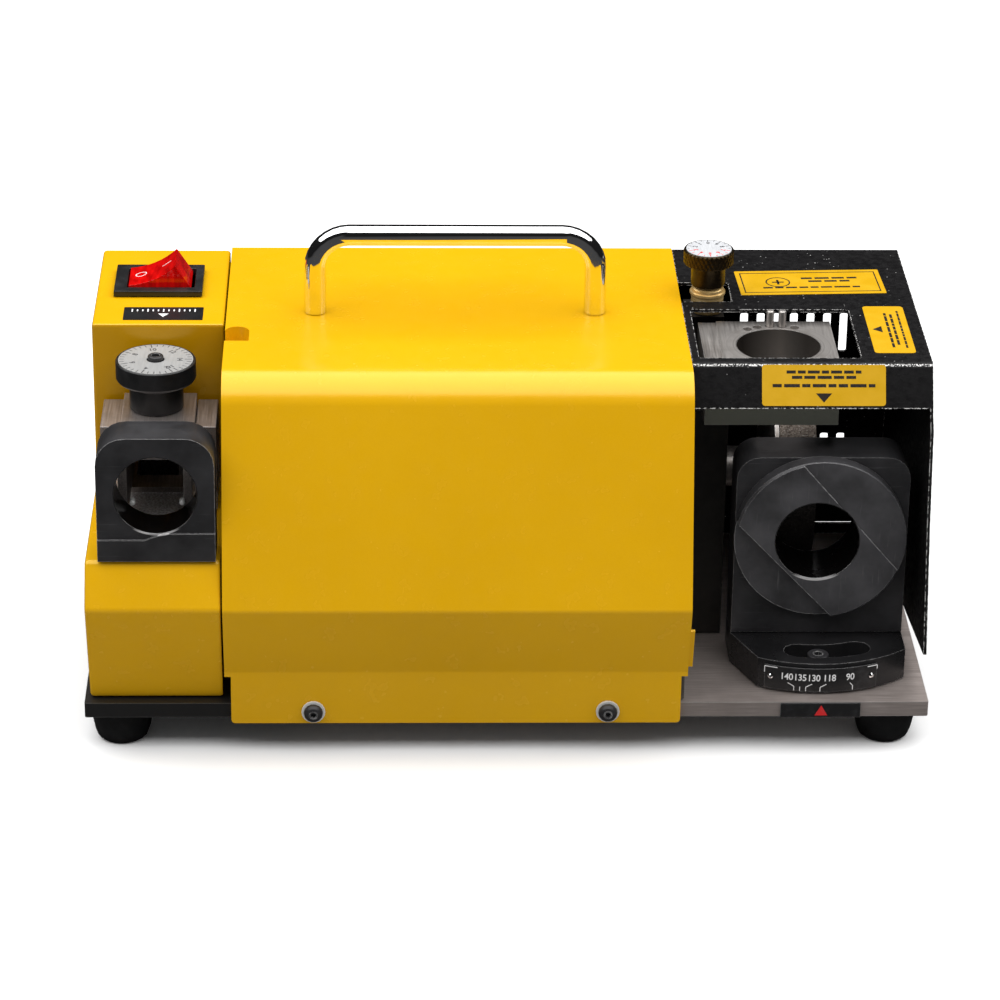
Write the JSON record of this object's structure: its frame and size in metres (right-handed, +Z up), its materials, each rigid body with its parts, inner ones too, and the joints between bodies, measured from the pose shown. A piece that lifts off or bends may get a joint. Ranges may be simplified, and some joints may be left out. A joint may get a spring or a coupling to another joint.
{
  "type": "drill bit sharpener",
  "caption": "Benchtop drill-bit grinder: yellow covers, swivelling point-angle head, relief-angle port, web-thinning port and carry handle.",
  "frame": {"origin": "on the bench, under the middle of the machine's overall box", "axes": "+Z up from the bench, +X to the operator's right along the spindle, +Y from the front towards the back"},
  "size_m": [0.32, 0.1609, 0.1837],
  "materials": {
    "yellow_paint": "leather-grain powder coat, semi-gloss",
    "black_paint": "wrinkled black paint, worn to bright metal on its edges",
    "ground_steel": "surface-ground bare steel",
    "black_oxide": "black-oxide machined steel, satin",
    "chrome": "polished chrome plate",
    "rubber": "matte moulded rubber",
    "black_plastic": "black moulded plastic",
    "red_plastic": "translucent red lens plastic",
    "brass": "machined brass",
    "bronze": "dark bronzed, knurled",
    "dial_plate": "silver-white printed dial plate",
    "abrasive": "bonded abrasive grit",
    "motor_grey": "grey cast housing",
    "cast_iron": "dark painted casting",
    "white_plastic": "white moulded can"
  },
  "bodies": {
    "frame": {"base_plate": "ground_steel", "bearing_left": "chrome", "bearing_right": "chrome", "capacitor": "white_plastic", "cover_screw_left": "black_oxide", "cover_screw_right": "black_oxide", "cover_washer_left": "chrome", "cover_washer_right": "chrome", "end_bell_left": "motor_grey", "end_bell_right": "motor_grey", "foot_front_left": "rubber", "foot_front_right": "rubber", "foot_rear_left": "rubber", "foot_rear_right": "rubber", "fuse_cap": "black_plastic", "grinding_bracket": "cast_iron", "guard": "black_paint", "handle": "chrome", "handle_screw_left": "chrome", "handle_screw_right": "chrome", "index_plate": "black_paint", "left_casing": "yellow_paint", "main_cover": "yellow_paint", "motor_cradle": "cast_iron", "motor_housing": "motor_grey", "partition_plate": "black_paint", "pivot_pin": "chrome", "power_inlet": "black_plastic", "relief_nut": "brass", "stator_core": "cast_iron", "switch_bezel": "black_plastic", "web_guide_block": "ground_steel"},
    "switch_rocker": {"switch_rocker": "red_plastic"},
    "web_carriage": {"web_slide_bar": "ground_steel", "web_port_block": "black_oxide"},
    "web_dial": {"web_knob": "black_plastic", "web_dial_disc": "dial_plate", "web_knob_screw": "black_oxide"},
    "relief_carriage": {"relief_port_block": "ground_steel", "relief_pin_left": "ground_steel", "relief_pin_right": "ground_steel"},
    "relief_dial": {"relief_knob": "bronze", "relief_dial_disc": "dial_plate"},
    "point_head": {"head_base": "black_oxide", "head_block": "black_oxide", "head_port": "black_oxide", "scale_plate": "black_paint", "scale_rivet_left": "chrome", "scale_rivet_right": "chrome"},
    "swivel_lock": {"swivel_lock_screw": "black_oxide"},
    "spindle": {"spindle_shaft": "ground_steel", "rotor_core": "cast_iron", "cooling_fan": "black_plastic", "point_wheel": "abrasive", "point_wheel_backing": "ground_steel", "point_wheel_nut": "chrome", "web_wheel": "abrasive", "web_wheel_backing": "ground_steel", "web_wheel_nut": "chrome"}
  },
  "joints": [
    {"name": "switch_tilt", "type": "hinge", "parent": "frame", "child": "switch_rocker", "pos_m": [-0.13315, 0.041, 0.144], "axis": [0, 1, 0], "range_deg": [0, 26]},
    {"name": "web_slide", "type": "slide", "parent": "frame", "child": "web_carriage", "axis": [0, 1, 0], "range_m": [-0.00109, 0.00109]},
    {"name": "web_dial_turn", "type": "hinge", "parent": "web_carriage", "child": "web_dial", "pos_m": [-0.133, -0.0162, 0.1394], "axis": [0, 0, 1], "range_deg": [-150, 150]},
    {"name": "relief_slide", "type": "slide", "parent": "frame", "child": "relief_carriage", "axis": [0, 1, 0], "range_m": [-0.00109, 0.00109]},
    {"name": "relief_dial_turn", "type": "hinge", "parent": "frame", "child": "relief_dial", "pos_m": [0.0786, 0.0291, 0.1667], "axis": [0, 0, 1], "range_deg": [-150, 150]},
    {"name": "point_angle_swivel", "type": "hinge", "parent": "frame", "child": "point_head", "pos_m": [0.119, -0.0115, 0.021], "axis": [0, 0, 1], "range_deg": [-14, 11]},
    {"name": "swivel_lock_turn", "type": "hinge", "parent": "frame", "child": "swivel_lock", "pos_m": [0.119, -0.052, 0.0328], "axis": [0, 0, 1], "range_deg": [0, 180]},
    {"name": "spindle_spin", "type": "hinge", "parent": "frame", "child": "spindle", "pos_m": [0, 0.0255, 0.076], "axis": [1, 0, 0], "continuous": true}
  ],
  "couplings": [
    {"joint": "web_dial_turn", "follows": "web_slide", "rad_per_m": 2400},
    {"joint": "relief_dial_turn", "follows": "relief_slide", "rad_per_m": 2400}
  ]
}
